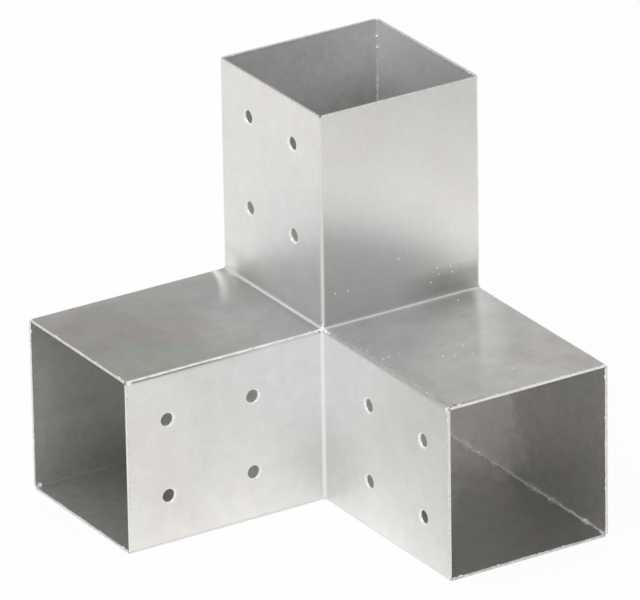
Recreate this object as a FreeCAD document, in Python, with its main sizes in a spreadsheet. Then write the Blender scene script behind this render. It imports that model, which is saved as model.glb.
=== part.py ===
"""Y-shaped post connector, in millimetres: three square sleeves that meet in one corner block.

Three folded angles make the inner walls, three L-shaped plates make the outer walls, and welds
join them along every outer edge. The connector repeats each third of a turn about the diagonal of
its corner block, so each kind of piece is drawn once about the block's centre, with its sleeves
along +X and +Y, and is turned into its three places.

The origin is on the underside, on the upright sleeve's axis. The left sleeve runs along +X, the
right sleeve along +Y and the upright sleeve along +Z.
"""
import FreeCAD
import Part
import Sketcher

import os

from FreeCAD import Placement, Rotation, Vector

# Driving dimensions
DIMENSIONS = {
    "post_width": 100.0,         # side of the square post that each sleeve takes
    "post_clearance": 0.5,       # play between the post and each wall
    "sheet_thickness": 1.5,
    "bend_radius": 2.0,          # inside radius of the folds
    "sleeve_length": 127.0,      # from the corner block to each mouth
    "hole_diameter": 9.0,
    "hole_setback": 26.0,        # from the mouth to the outer row of holes
    "hole_pitch_along": 55.0,    # between the two rows, along the sleeve
    "hole_pitch_across": 46.0,   # between the two holes of a row
    "seam_setback": 1.0,         # bare end of each seam at the mouth
    "fillet_leg": 0.9,           # leg of the fillet welds inside the outer corners
    "dab_overlap": 0.4,          # reach of the dab at the three folds past the ends of the seams
}

# Distances from the corner block's centre
HALF_CLEAR = "(dims.post_width / 2 + dims.post_clearance)"
HALF_OUTER = f"({HALF_CLEAR} + dims.sheet_thickness)"
FOLD_END = f"({HALF_OUTER} + dims.bend_radius)"
MOUTH = f"({HALF_OUTER} + dims.sleeve_length)"
SEAM_END = f"({MOUTH} - dims.seam_setback)"

# Distance from the point where the three folds meet to the far edge of each seam's end
DAB_REACH = "sqrt(dims.bend_radius ^ 2 + 2 * dims.sheet_thickness ^ 2)"

# Thirds of a turn about the corner block's diagonal, given by where the three axes go
X_AXIS, Y_AXIS, Z_AXIS = Vector(1, 0, 0), Vector(0, 1, 0), Vector(0, 0, 1)
AS_DRAWN = Rotation(X_AXIS, Y_AXIS, Z_AXIS)
X_TO_Y = Rotation(Y_AXIS, Z_AXIS, X_AXIS)
X_TO_Z = Rotation(Z_AXIS, X_AXIS, Y_AXIS)

# Bolt holes: the origin plane that a drilled wall faces, and whether it lies on that plane's normal side
FIRST_WALL = ("XZ_Plane", False)
SECOND_WALL = ("YZ_Plane", True)

# The numbers by which a sketch knows its origin and a curve's points
ORIGIN = (-1, 1)
LEVEL_AXIS = -1
START, END, CENTRE = 1, 2, 3

doc = FreeCAD.newDocument("post_connector")
dims = doc.addObject("Spreadsheet::Sheet", "dims")
for row, (alias, size) in enumerate(DIMENSIONS.items(), start=1):
    dims.set(f"A{row}", alias)
    dims.set(f"B{row}", str(size))
    dims.setAlias(f"B{row}", alias)
doc.recompute()


def number(expression):
    """The present value of an expression over the sheet."""
    return float(dims.evalExpression(expression))


def new_body(name, turn):
    """A body drawn about the corner block's centre and turned into its place."""
    body = doc.addObject("PartDesign::Body", name)
    body.Label = name
    body.Placement = Placement(Vector(), turn)
    body.setExpression("Placement.Base.z", HALF_OUTER)
    return body


def new_sketch(body, name, role, offset="0"):
    """A sketch on one of the body's own origin planes, moved along the plane's normal."""
    plane = next(feature for feature in body.Origin.OriginFeatures if feature.Role == role)
    sketch = body.newObject("Sketcher::SketchObject", f"{body.Label}_{name}")
    sketch.AttachmentSupport = [(plane, "")]
    sketch.MapMode = "FlatFace"
    sketch.setExpression("AttachmentOffset.Base.z", offset)
    return sketch


def line(start, end):
    """A straight stretch, with the order in which it meets its points."""
    return Part.LineSegment(Vector(*start, 0), Vector(*end, 0)), (START, END)


def arc(centre, start, end):
    """A round stretch that turns the short way. A clockwise one meets its points in reverse."""
    centre, start, end = (Vector(*point, 0) for point in (centre, start, end))
    circle = Part.Circle(centre, Z_AXIS, (start - centre).Length)
    if (start - centre).cross(end - centre).z > 0:
        return Part.ArcOfCircle(circle, circle.parameter(start), circle.parameter(end)), (START, END)
    return Part.ArcOfCircle(circle, circle.parameter(end), circle.parameter(start)), (END, START)


def draw_chain(sketch, pieces, closed=True, tangent_arcs=True):
    """Draws lines and arcs head to tail. A line along one of the sketch's axes stays along it."""
    curves = [curve for curve, order in pieces]
    orders = [order for curve, order in pieces]
    for index, curve in enumerate(curves):
        sketch.addGeometry(curve)
        if not isinstance(curve, Part.LineSegment):
            continue
        if curve.StartPoint.y == curve.EndPoint.y:
            sketch.addConstraint(Sketcher.Constraint("Horizontal", index))
        elif curve.StartPoint.x == curve.EndPoint.x:
            sketch.addConstraint(Sketcher.Constraint("Vertical", index))
    for index in range(len(curves) if closed else len(curves) - 1):
        following = (index + 1) % len(curves)
        meets_arc = any(isinstance(curves[end], Part.ArcOfCircle) for end in (index, following))
        kind = "Tangent" if meets_arc and tangent_arcs else "Coincident"
        ends = (index, orders[index][1], following, orders[following][0])
        sketch.addConstraint(Sketcher.Constraint(kind, *ends))


def bind(sketch, kind, geometry, expression):
    """Adds a dimension to a sketch and ties it to the sheet."""
    index = sketch.addConstraint(Sketcher.Constraint(kind, *geometry, number(expression)))
    sketch.setExpression(f"Constraints[{index}]", expression)


def locate(sketch, axis, point, expression, side=1):
    """Ties a point's distance from the sketch's origin, on its positive or negative side."""
    ends = (*ORIGIN, *point) if side > 0 else (*point, *ORIGIN)
    bind(sketch, f"Distance{axis}", ends, expression)


def pad(body, name, sketch, length, side_type="One side"):
    feature = body.newObject("PartDesign::Pad", f"{body.Label}_{name}")
    feature.Profile = sketch
    feature.SideType = side_type
    feature.setExpression("Length", length)
    doc.recompute()


def folded_angle(name, turn, drilled_walls):
    """Two sleeve walls at right angles, folded from one strip round the inner corner."""
    body = new_body(name, turn)
    sketch = new_sketch(body, "profile", "XY_Plane")
    inner, outer, fold, mouth = map(number, (HALF_CLEAR, HALF_OUTER, FOLD_END, MOUTH))
    draw_chain(sketch, [
        line((outer, mouth), (outer, fold)),
        arc((fold, fold), (outer, fold), (fold, outer)),
        line((fold, outer), (mouth, outer)),
        line((mouth, outer), (mouth, inner)),
        line((mouth, inner), (fold, inner)),
        arc((fold, fold), (fold, inner), (inner, fold)),
        line((inner, fold), (inner, mouth)),
        line((inner, mouth), (outer, mouth)),
    ])
    second_face, outer_fold, first_face, first_end, inner_fold = 0, 1, 2, 3, 5
    sketch.addConstraint(Sketcher.Constraint("Coincident", outer_fold, CENTRE, inner_fold, CENTRE))
    bind(sketch, "Radius", (outer_fold,), "dims.bend_radius")
    bind(sketch, "DistanceY", (first_end, END, first_end, START), "dims.sheet_thickness")
    locate(sketch, "X", (first_face, END), MOUTH)
    locate(sketch, "Y", (first_face, END), HALF_OUTER)
    locate(sketch, "X", (second_face, START), HALF_OUTER)
    locate(sketch, "Y", (second_face, START), MOUTH)
    pad(body, "walls", sketch, f"2 * {HALF_CLEAR}", "Symmetric")
    for plane, on_normal_side in drilled_walls:
        drill(body, plane, on_normal_side)
    return body


def drill(body, plane, on_normal_side):
    """Four bolt holes through the wall that faces an origin plane, in two rows of two."""
    sketch = new_sketch(body, f"holes_{plane}", plane)
    outer_row = f"{MOUTH} - dims.hole_setback"
    inner_row = f"{outer_row} - dims.hole_pitch_along"
    half_pitch = "dims.hole_pitch_across / 2"
    radius = "dims.hole_diameter / 2"
    for row_number, row_place in enumerate((outer_row, inner_row)):
        upper, lower = 2 * row_number, 2 * row_number + 1
        for side in (1, -1):
            centre = Vector(number(row_place), side * number(half_pitch), 0)
            sketch.addGeometry(Part.Circle(centre, Z_AXIS, number(radius)))
        locate(sketch, "X", (upper, CENTRE), row_place)
        locate(sketch, "Y", (upper, CENTRE), half_pitch)
        sketch.addConstraint(Sketcher.Constraint("Symmetric", upper, CENTRE, lower, CENTRE, LEVEL_AXIS))
        bind(sketch, "Radius", (upper,), radius)
        sketch.addConstraint(Sketcher.Constraint("Equal", upper, lower))
    doc.recompute()
    hole = body.newObject("PartDesign::Hole", f"{body.Label}_bolts_{plane}")
    hole.Profile = sketch
    hole.DepthType = "ThroughAll"
    hole.Reversed = on_normal_side
    hole.setExpression("Diameter", "dims.hole_diameter")
    doc.recompute()


def corner_plate(name, turn):
    """An L-shaped outer plate that closes two sleeves and the corner block on one side."""
    body = new_body(name, turn)
    sketch = new_sketch(body, "outline", "XY_Plane", f"-{HALF_OUTER}")
    inner, fold, mouth = map(number, (HALF_CLEAR, FOLD_END, MOUTH))
    draw_chain(sketch, [
        line((-inner, -inner), (mouth, -inner)),
        line((mouth, -inner), (mouth, inner)),
        line((mouth, inner), (fold, inner)),
        arc((fold, fold), (fold, inner), (inner, fold)),
        line((inner, fold), (inner, mouth)),
        line((inner, mouth), (-inner, mouth)),
        line((-inner, mouth), (-inner, -inner)),
    ])
    back_edge, first_mouth, fold_edge, second_edge = 0, 1, 3, 4
    bind(sketch, "Radius", (fold_edge,), "dims.bend_radius + dims.sheet_thickness")
    locate(sketch, "X", (back_edge, START), HALF_CLEAR, side=-1)
    locate(sketch, "Y", (back_edge, START), HALF_CLEAR, side=-1)
    locate(sketch, "X", (first_mouth, END), MOUTH)
    locate(sketch, "Y", (first_mouth, END), HALF_CLEAR)
    locate(sketch, "X", (second_edge, END), HALF_CLEAR)
    locate(sketch, "Y", (second_edge, END), MOUTH)
    pad(body, "sheet", sketch, "dims.sheet_thickness")
    return body


def seam_section(body, start, side_y, side_z):
    """A quarter round in the notch between two plates whose inner edges meet."""
    sketch = new_sketch(body, "section", "YZ_Plane", start)
    inner, outer = number(HALF_CLEAR), number(HALF_OUTER)
    root = (side_y * inner, side_z * inner)
    first_toe = (side_y * outer, side_z * inner)
    second_toe = (side_y * inner, side_z * outer)
    draw_chain(sketch, [
        line(root, first_toe),
        arc(root, first_toe, second_toe),
        line(second_toe, root),
    ], tangent_arcs=False)
    first_edge, face = 0, 1
    sketch.addConstraint(Sketcher.Constraint("Coincident", first_edge, START, face, CENTRE))
    bind(sketch, "Radius", (face,), "dims.sheet_thickness")
    locate(sketch, "X", (first_edge, START), HALF_CLEAR, side_y)
    locate(sketch, "Y", (first_edge, START), HALF_CLEAR, side_z)
    return sketch


def inner_seam(name, turn):
    """The weld between two folded angles, from the fold to the mouth."""
    body = new_body(name, turn)
    sketch = seam_section(body, FOLD_END, 1, 1)
    pad(body, "bead", sketch, f"{SEAM_END} - {FOLD_END}")
    return body


def fold_seam(name, turn):
    """The weld between a folded angle and its plate, from mouth to mouth round the fold."""
    body = new_body(name, turn)
    path = new_sketch(body, "path", "XY_Plane", f"-{HALF_CLEAR}")
    inner, fold, end = map(number, (HALF_CLEAR, FOLD_END, SEAM_END))
    draw_chain(path, [
        line((end, inner), (fold, inner)),
        arc((fold, fold), (fold, inner), (inner, fold)),
        line((inner, fold), (inner, end)),
    ], closed=False)
    first_run, turn_arc, second_run = 0, 1, 2
    bind(path, "Radius", (turn_arc,), "dims.bend_radius + dims.sheet_thickness")
    locate(path, "X", (first_run, START), SEAM_END)
    locate(path, "Y", (first_run, START), HALF_CLEAR)
    locate(path, "X", (second_run, END), HALF_CLEAR)
    locate(path, "Y", (second_run, END), SEAM_END)
    section = seam_section(body, SEAM_END, 1, -1)
    doc.recompute()
    bead = body.newObject("PartDesign::AdditivePipe", f"{name}_bead")
    bead.Profile = section
    bead.Spine = (path, ["Edge1", "Edge2", "Edge3"])
    doc.recompute()
    return body


def outer_seam(name, turn, capped=False):
    """The weld along an outer corner. One of the three also rounds off the block's outermost point."""
    body = new_body(name, turn)
    sketch = seam_section(body, f"-{HALF_CLEAR}", -1, -1)
    pad(body, "bead", sketch, f"{SEAM_END} + {HALF_CLEAR}")
    if capped:
        cap = body.newObject("PartDesign::AdditiveSphere", f"{name}_cap")
        cap.setExpression("Radius", "dims.sheet_thickness")
        cap.Angle1 = -90
        cap.Angle2 = 0
        cap.Angle3 = 90
        cap.Placement = Placement(Vector(), Rotation(-X_AXIS, -Y_AXIS, Z_AXIS))
        for axis in "xyz":
            cap.setExpression(f"Placement.Base.{axis}", f"-{HALF_CLEAR}")
        doc.recompute()
    return body


def inside_fillet(name, turn):
    """The fillet weld inside an outer corner, clear of the other two where they meet."""
    body = new_body(name, turn)
    sketch = new_sketch(body, "section", "YZ_Plane", f"dims.fillet_leg - {HALF_CLEAR}")
    root = -number(HALF_CLEAR)
    tip = root + number("dims.fillet_leg")
    corners = [(root, root), (tip, root), (root, tip)]
    draw_chain(sketch, [line(corner, corners[index - 2]) for index, corner in enumerate(corners)])
    first_leg, second_leg = 0, 2
    sketch.addConstraint(Sketcher.Constraint("Equal", first_leg, second_leg))
    bind(sketch, "DistanceX", (first_leg, START, first_leg, END), "dims.fillet_leg")
    locate(sketch, "X", (first_leg, START), HALF_CLEAR, side=-1)
    locate(sketch, "Y", (first_leg, START), HALF_CLEAR, side=-1)
    pad(body, "bead", sketch, f"{SEAM_END} + {HALF_CLEAR} - dims.fillet_leg")
    return body


def socket_space(name, turn):
    """The clear space of one sleeve, through the corner block to the mouth."""
    space = doc.addObject("Part::Box", name)
    space.setExpression("Length", f"{MOUTH} + {HALF_CLEAR}")
    space.setExpression("Width", f"2 * {HALF_CLEAR}")
    space.setExpression("Height", f"2 * {HALF_CLEAR}")
    space.Placement = Placement(Vector(), turn)
    space.setExpression("Placement.Base.x", f"-{HALF_CLEAR}")
    space.setExpression("Placement.Base.y", f"-{HALF_CLEAR}")
    space.setExpression("Placement.Base.z", "dims.sheet_thickness")
    return space


def junction_dab(name, neighbours):
    """The dab of weld over the point where the three folds meet, clear of the sockets."""
    ball = doc.addObject("Part::Sphere", f"{name}_ball")
    ball.setExpression("Radius", f"{DAB_REACH} + dims.dab_overlap")
    ball.setExpression("Placement.Base.x", HALF_OUTER)
    ball.setExpression("Placement.Base.y", HALF_OUTER)
    ball.setExpression("Placement.Base.z", f"2 * {HALF_OUTER}")
    spaces = [socket_space(f"{name}_socket", turn) for turn in (AS_DRAWN, X_TO_Y, X_TO_Z)]
    surroundings = doc.addObject("Part::MultiFuse", f"{name}_surroundings")
    surroundings.Shapes = neighbours + spaces
    dab = doc.addObject("Part::Cut", name)
    dab.Label = name
    dab.Base = ball
    dab.Tool = surroundings
    doc.recompute()
    return dab


angles = [
    folded_angle("front_angle", AS_DRAWN, [FIRST_WALL, SECOND_WALL]),
    folded_angle("right_top_angle", X_TO_Y, []),
    folded_angle("left_top_angle", X_TO_Z, [FIRST_WALL]),
]
plates = [
    corner_plate("base_plate", AS_DRAWN),
    corner_plate("right_back_plate", X_TO_Y),
    corner_plate("left_back_plate", X_TO_Z),
]
inner_seams = [
    inner_seam("left_top_weld", AS_DRAWN),
    inner_seam("right_top_weld", X_TO_Y),
    inner_seam("upright_front_weld", X_TO_Z),
]
fold_seams = [
    fold_seam("base_front_weld", AS_DRAWN),
    fold_seam("right_back_weld", X_TO_Y),
    fold_seam("left_back_weld", X_TO_Z),
]
outer_seams = [
    outer_seam("base_left_weld", AS_DRAWN),
    outer_seam("base_right_weld", X_TO_Y),
    outer_seam("upright_rear_weld", X_TO_Z, capped=True),
]
fillets = [
    inside_fillet("base_left_fillet", AS_DRAWN),
    inside_fillet("base_right_fillet", X_TO_Y),
    inside_fillet("upright_rear_fillet", X_TO_Z),
]
dab = junction_dab("junction_weld", angles + inner_seams)
pieces = angles + plates + inner_seams + fold_seams + outer_seams + fillets + [dab]

doc.recompute()
failed = [item.Name for item in doc.Objects if {"Invalid", "Error"} & set(item.State)]
failed += [piece.Label for piece in pieces if piece.Shape.isNull() or not piece.Shape.isValid()]
if failed:
    raise RuntimeError(f"these did not build: {failed}")

os.makedirs("parts", exist_ok=True)
for piece in pieces:
    piece.Shape.exportStep(f"parts/{piece.Label}.step")
    print(f"{piece.Label}: {len(piece.Shape.Solids)} solid, {piece.Shape.Volume:.1f} mm3")
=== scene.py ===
"""Looks of a welded corner connector in galvanised sheet: finishes, weld beads, light and camera."""

import math
import random
from functools import partial

import bmesh
import bpy
from mathutils import Matrix, Vector, noise


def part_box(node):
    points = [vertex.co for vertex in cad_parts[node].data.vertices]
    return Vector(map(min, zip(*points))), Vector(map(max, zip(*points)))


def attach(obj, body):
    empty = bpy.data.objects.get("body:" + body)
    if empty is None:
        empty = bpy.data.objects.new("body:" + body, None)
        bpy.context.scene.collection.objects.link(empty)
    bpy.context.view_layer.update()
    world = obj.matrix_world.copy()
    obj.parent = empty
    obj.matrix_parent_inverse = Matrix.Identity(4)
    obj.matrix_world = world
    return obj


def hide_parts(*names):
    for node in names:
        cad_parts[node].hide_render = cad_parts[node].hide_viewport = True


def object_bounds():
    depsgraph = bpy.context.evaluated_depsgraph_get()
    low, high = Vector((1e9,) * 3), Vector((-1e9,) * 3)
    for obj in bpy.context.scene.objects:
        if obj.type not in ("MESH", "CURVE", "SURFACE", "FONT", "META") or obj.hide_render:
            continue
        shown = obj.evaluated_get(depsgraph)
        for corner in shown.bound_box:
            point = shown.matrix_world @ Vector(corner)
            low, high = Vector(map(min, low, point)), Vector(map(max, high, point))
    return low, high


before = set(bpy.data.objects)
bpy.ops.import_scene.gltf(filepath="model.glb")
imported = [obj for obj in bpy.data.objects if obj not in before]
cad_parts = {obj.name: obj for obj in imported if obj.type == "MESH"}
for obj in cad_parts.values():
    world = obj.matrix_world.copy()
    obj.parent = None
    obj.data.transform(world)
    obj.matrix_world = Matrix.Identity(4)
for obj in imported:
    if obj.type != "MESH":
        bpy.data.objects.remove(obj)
cad_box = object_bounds()

MM = 0.001
X = Vector((1, 0, 0))
Y = Vector((0, 1, 0))
Z = Vector((0, 0, 1))

# Sizes of the connector, read from the frame, in metres
HALF = -cad_box[0].x
BLOCK = 2 * HALF
MOUTH = cad_box[1].x
TOP = cad_box[1].z
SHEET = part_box("base_plate")[1].z
INSIDE = HALF - SHEET
FOLD_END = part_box("left_top_weld")[0].x
FOLD_RADIUS = FOLD_END - HALF
SEAM_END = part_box("left_top_weld")[1].x
SEAM_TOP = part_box("upright_front_weld")[1].z
JUNCTION = Vector((HALF, HALF, BLOCK))
FOLD_FOOT = Vector((HALF, HALF, 0))

# Camera, fitted to the straight edges in the photograph
CAMERA_AZIMUTH = math.radians(148.161)
CAMERA_ELEVATION = math.radians(23.857)
CAMERA_ROLL = math.radians(-0.945)
CAMERA_DISTANCE = 4721.9 * MM
CAMERA_TARGET = Vector((49.51, 45.65, 118.74)) * MM
CAMERA_LENS = 481.4
CAMERA_SENSOR = 36.0
CAMERA_REACH = 50.0


def span(place, low, high, *values):
    """From and to, in millimetres past a place, and the values there."""
    return (place + low * MM, place + high * MM, *values)


# Below, a change is (from, to, value at the first, value at the second) over a place or a noise, a band is
# (from, to, softness), a texture is a noise's features a metre, detail and roughness, then the change over it,
# and a relief is such a noise, its depth and its strength

# Light: a key lamp, a soft room (its glow from the horizon up) that is paler in front, and a white floor
KEY_DIRECTION = Vector((0.42, 0.24, 0.95))
KEY_DISTANCE = 2.4
KEY_SIZE = 1.8
KEY_POWER = 20
ROOM_BANDS = ((0.0, 0.65), (0.2, 0.48), (0.4, 0.36), (0.6, 0.48), (0.77, 0.75), (1.0, 0.9))
ROOM_FRONT = Vector((0.85, 0.50, 0.0)).normalized()
ROOM_SIDES = (-1.0, 1.0, 0.85, 1.35)
WHITE = (1.0, 1.0, 1.0)
FLOOR_RADIUS = 6.0
FLOOR_SEGMENTS = 96
FLOOR_DROP = 0.1 * MM
FLOOR_COLOUR = (0.9, 0.9, 0.9, 1.0)
FLOOR_GLOW = 0.94
FLOOR_FADE = Vector((-0.53, 0.85, 0.0))
FLOOR_MIRRORED = (0.35, 1.1, 0.95, 0.70)
SHADE_CENTRE = Vector((0.075, 0.075, 0.0))
FLOOR_SHADED = (0.02, 0.09, 0.72, 1.0)
GLOSSY_BOUNCES = 12
MAX_BOUNCES = 16

# Finish of each sheet: how much it reflects (an angle at its foot and above, a plate outside and inside),
# how much a stain takes towards the left and the right mouth, the two axes across its fold, the white bloom
# on its inside, which is partly painted light, its grain
FINISH = {
    "front_angle": ((0.96, 0.87), (0.09, 0.16), "XY", 0.10, 0.02),
    "left_top_angle": ((0.79, 0.79), (0.15, 0.0), "XZ", 0.10, 0.035),
    "right_top_angle": ((0.845, 0.845), (0.0, 0.0), "YZ", 0.10, 0.035),
    # The base plate's darker inside is painted shade in the sleeves, and the right back plate's darker outside is
    # painted shade that sets the back corner off
    "base_plate": ((0.70, 0.455), (0.0, 0.0), None, 0.06, 0.04),
    "left_back_plate": ((0.74, 0.75), (0.0, 0.0), None, 0.10, 0.04),
    "right_back_plate": ((0.66, 0.76), (0.0, 0.0), None, 0.10, 0.04),
}
FOOT_HEIGHT = 30 * MM
SPECKLE = (380, 4, 0.7, 0.3, 0.7)
SHEET_ROUGHNESS = (45, 3, 0.5, 0.3, 0.7, 0.39, 0.43)
SHEET_RELIEF = (1800, 2, 0.5, 0.02 * MM, 0.25)
SLEEVE_DULL_WHITE = (0.92, 0.92, 0.91)
UPRIGHT_DULL_WHITE = (0.905, 0.920, 0.920)

# How near a face a point counts as on it, and where a plate's inner side starts
SLACK = 0.1 * MM
MID_SHEET = (0.4 * SHEET, 0.6 * SHEET, 0.0, 1.0)

# Mottling of the sheets, and soft clouds on the angles, which fade above the sleeves' tops
EVEN_MOTTLE = (120, 4, 0.6, 0.3, 0.7, 0.97, 1.0)
INNER_MOTTLE = (120, 4, 0.6, 0.3, 0.7, 0.84, 1.0)
BROAD_PATCHES = (8, 2, 0.5, 0.35, 0.65, 0.86, 1.06)
SOFT_CLOUDS = (60, 5, 0.65, 0.3, 0.7)
FOLD_CLOUDS = {"XY": 0.025, "XZ": 0.06, "YZ": 0.08}
CLOUDS_ABOVE = (BLOCK, BLOCK + 2 * MM, 1.0, 0.3)

# Passivation tints outside: neutral about the junction, greener at the upright's top right, rosier on the left
TINT_CLOUDS = (22, 3, 0.5)
TINTS = (
    (0.36, (0.990, 1.000, 0.945)),
    (0.50, (1.000, 0.985, 0.930)),
    (0.64, (1.000, 0.952, 0.915)),
)
NEUTRAL_TINT = (0.985, 0.985, 0.977)
TINT_START = span(0, 55, 120, 0.0, 1.0)
TINT_STRENGTH = 0.8
FRONT_TINT_STRENGTH = span(0, -10, 60, 0.35, 0.8)
GREEN_HEIGHT = span(TOP, -70, -20, 0.0, 0.2)
GREEN_SIDE = span(0, -40, 20, 1.0, 0.0)
ROSY_SIDE = span(0, 0, 60, 0.0, 0.10)

# Tints inside
LEFT_TINT = (0.990, 0.990, 0.967)
RIGHT_TINT = (1.000, 0.970, 0.945)
UPRIGHT_TINT = (0.970, 0.992, 0.987)
TINT_SIDE = span(0, -30, 30, 0.0, 1.0)
TINT_HEIGHT = span(BLOCK, -20, 20, 0.0, 1.0)

# Stains towards the mouths, and the tints that the left one shows along a slanting line
LEFT_STAIN = span(HALF, 35, 85)
LEFT_STAIN_SIDE = (-HALF, 0.0, 0.35, 1.0)
RIGHT_STAIN = span(HALF, 45, 125)
STAIN_HEIGHT = (BLOCK, BLOCK + 1 * MM, 1.0, 0.0)
STAIN_SLANT = 0.5
STAIN_RUN = (-HALF, HALF + STAIN_SLANT * (MOUTH - HALF), 0.0, 1.0)
STAIN_WANDER = (0.3, 0.7, -0.18, 0.18)
STAIN_SHOWS = (0.0, 0.10, 0.0, 1.0)
STAINED_TINTS = (
    (0.20, (0.995, 0.985, 0.955)),
    (0.42, (1.000, 0.950, 0.915)),
    (0.60, (1.000, 0.945, 0.895)),
    (0.76, (0.945, 1.000, 0.935)),
    (0.92, (1.000, 0.975, 0.880)),
)

# Painted sheen deep inside, as it fades towards the mouths
DEEP_SHEEN = {
    "right_back_plate": span(HALF, 28, 46, 0.28, 0.0),
    "base_plate": span(HALF, -30, 45, 0.45, 0.0),
}
SHEEN_EDGE = (90, 4, 0.65, 0.3, 0.7, -14 * MM, 14 * MM)

# Inside the left sleeve, painted light: more reflected deep behind the bolt holes and on the floor, and painted
# shade at the wall's foot
LEFT_SIDE = span(0, -40, 60, 0.0, 1.0)
LEFT_DEPTH = span(HALF, 48, 66)
DEEP_GAIN = 0.10
LEFT_FLOOR_GAIN = 1.28
LEFT_WALL_FOOT_SHADE = 0.66
LEFT_FOOT_HEIGHT = span(0, 3, 36, 1.0, 0.0)

# The upright's right wall, a painted reflection: what it reflects at heights in millimetres over a line that
# slants up to the left, and painted shade at its lower right
WALL_BANDS = ((-30, 0.58), (0, 0.575), (8, 0.60), (14, 0.66), (21, 0.73), (28, 0.775), (42, 0.785),
              (65, 0.72), (105, 0.635))
WALL_START = span(BLOCK, 0.2, 1, 0.0, 1.0)
WALL_SLANT = 0.42
WALL_LIFT = 3 * MM
LOWER_RIGHT_SHADE_SIDE = span(0, -26, 6, 0.31, 0.0)
LOWER_RIGHT_SHADE_HEIGHT = span(BLOCK, 5, 12, 7 * MM)

# White bloom inside, partly painted light: at the mouths, at the upright's top down to a slanting line, and
# deep in the upright
BLOOM_LIGHT_EDGE = 0.3 * MM
BLOOM_LIGHT_DUST = (700, 4, 0.7, 0.35, 0.65, 0.6, 1.4)
LEFT_MOUTH_BLOOM_LIGHT = (MOUTH - 60 * MM, MOUTH, 1.0, 2.7)
LEFT_BLOOM_LIGHT_HEIGHT = span(BLOCK, -40, -8, 1.0, 0.45)
BLOOM_LIGHT_SIDE = span(0, -20, 20, 0.0, 1.0)
BLOOM_LIGHT_SLANT = 0.22
UPRIGHT_BLOOM_LIGHT = 0.345
UPRIGHT_BLOOM_LIGHT_START = span(TOP, -52, -18, 0.0, 1.0)
UPRIGHT_BLOOM_LIGHT_CORNER = span(0, 15, 50, 1.45, 1.08)
UPRIGHT_BLOOM_LIGHT_FAR = (50 * MM, 2 * INSIDE, 1.0, 0.85)
UPRIGHT_BLOOM_LIGHT_SIDE = span(0, -20, 20, 1.0, 0.72)
UPRIGHT_BLOOM_LIGHT_RIM = (TOP - 25 * MM, TOP, 1.12, 0.95)
DEEP_BLOOM_LIGHT = 0.08
DEEP_BLOOM_LIGHT_HEIGHT = (BLOCK, TOP - 62 * MM, 8 * MM)

# Cut rims and the walls of the holes: how white and dull they are, and dark specks along the rims
MOUTH_DULLNESS = 0.40
TOP_DULLNESS = 0.15
RIM_CRUST = (420, 3, 0.6, 0.40, 0.60, 0.25, 1.5)
RIM_SPECKS = (480, 4, 0.7, 0.54, 0.64, 0.0, 0.40)
SPECKS_INSET = (0.5 * MM, 1.1 * MM, 0.3 * MM)
HOLES_CLEAR = 8 * MM

# Folds: how white their painted highlight is and how far it reaches, and how much painted shade lies beside them
# and about the junction
FOLD_HIGHLIGHT = 0.55
FOLD_HIGHLIGHT_REACH = {"XY": (1.35 * MM, 2.05 * MM), "XZ": (1.2 * MM, 1.42 * MM), "YZ": (1.0 * MM, 1.3 * MM)}
FOLD_SHADE = {"XZ": 0.14, "YZ": 0.05}
BESIDE_FOLD = (1.6 * MM, 3 * MM, 3.5 * MM)
JUNCTION_SHADE = span(0, 25, 100, 0.06, 0.0)
ABOVE_FOLD = span(BLOCK, 1, 3, 0.0, 1.0)

# The front walls: painted shade at the fold's foot, and a painted shadow below the two seams, deeper towards the
# left mouth
FOOT_SHADE = span(0, 20, 62, 0.10, 0.0)
UNDER_SEAM_SHADOW_HEIGHT = (BLOCK - SHEET - 1.6 * MM, BLOCK - SHEET, 0.0, 1.0)
UNDER_SEAM_SHADOW = span(HALF, 30, 75, 0.08, 0.30)

# The upright's left wall: a painted glow and a patch of painted shade beside it, at the end of its fold
FOLD_END_GLOW_CENTRE = Vector((HALF, 9 * MM - HALF, BLOCK + 5 * MM))
FOLD_END_GLOW = span(0, 1, 9, 0.75, 0.0)
FOLD_END_SHADE_HEIGHT = span(BLOCK, 4, 11, 9 * MM)
FOLD_END_SHADE_SIDE = span(0, -25, 10, 0.14, 0.0)
FOLD_END_SHADE_EDGE = (-HALF, 12 * MM - HALF, 0.0, 1.0)

# The right sleeve's top: painted shade along its seam and at its back corner, with a ragged dark fringe at its
# front one
SEAM_SHADE = span(HALF, -45, -5, 0.0, 0.12)
SEAM_SHADE_RUN = span(HALF, 10, 75, 0.4, 1.0)
BACK_CORNER_SHADE = (-HALF, 0.0, 0.10, 0.0)
BACK_CORNER_RUN = (HALF + 60 * MM, MOUTH, 0.0, 1.0)
FRINGE = span(0, 1.5, 3.5, 0.46, 0.0)
FRINGE_RAGGED = (300, 4, 0.7, 0.3, 0.7, -2 * MM, 2 * MM)
FRINGE_CORNER = Vector((HALF, MOUTH, BLOCK))
FRINGE_REACH = span(0, 8, 34, 1.0, 0.0)

# Painted reflections over the sleeves' tops: pale streaks from the end of each fold, where they start, how far
# they bow, their widths to either side, their length, how white they are, and the bloom and painted light about
# them
STREAK_ALONG = Vector((0.526, 0.851, 0.0))
STREAK_ASIDE = Vector((-0.851, 0.526, 0.0))
STREAK_DECAY = 0.92
STREAK_FADE = 0.15
REFLECTION_STREAKS = {
    "XZ": (Vector((HALF, -HALF, BLOCK)), 9 * MM, (3 * MM, 5 * MM), 55 * MM, 1.0, 0.0),
    "YZ": (Vector((-HALF, HALF, BLOCK)), 4 * MM, (4 * MM, 15 * MM), 140 * MM, 0.42, 0.085),
}

# Zinc on the lips of the holes and the burrs
LIP_CLOUDS = (900, 2, 0.5)
LIP_TINTS = ((0.3, (0.88, 0.88, 0.87)), (0.6, (1.0, 1.0, 0.99)))
LIP_METALLIC = 0.3
LIP_ROUGHNESS = (0.3, 0.7, 0.22, 0.36)
LIP_RELIEF = (*LIP_CLOUDS, 0.05 * MM, 0.3)
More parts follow.
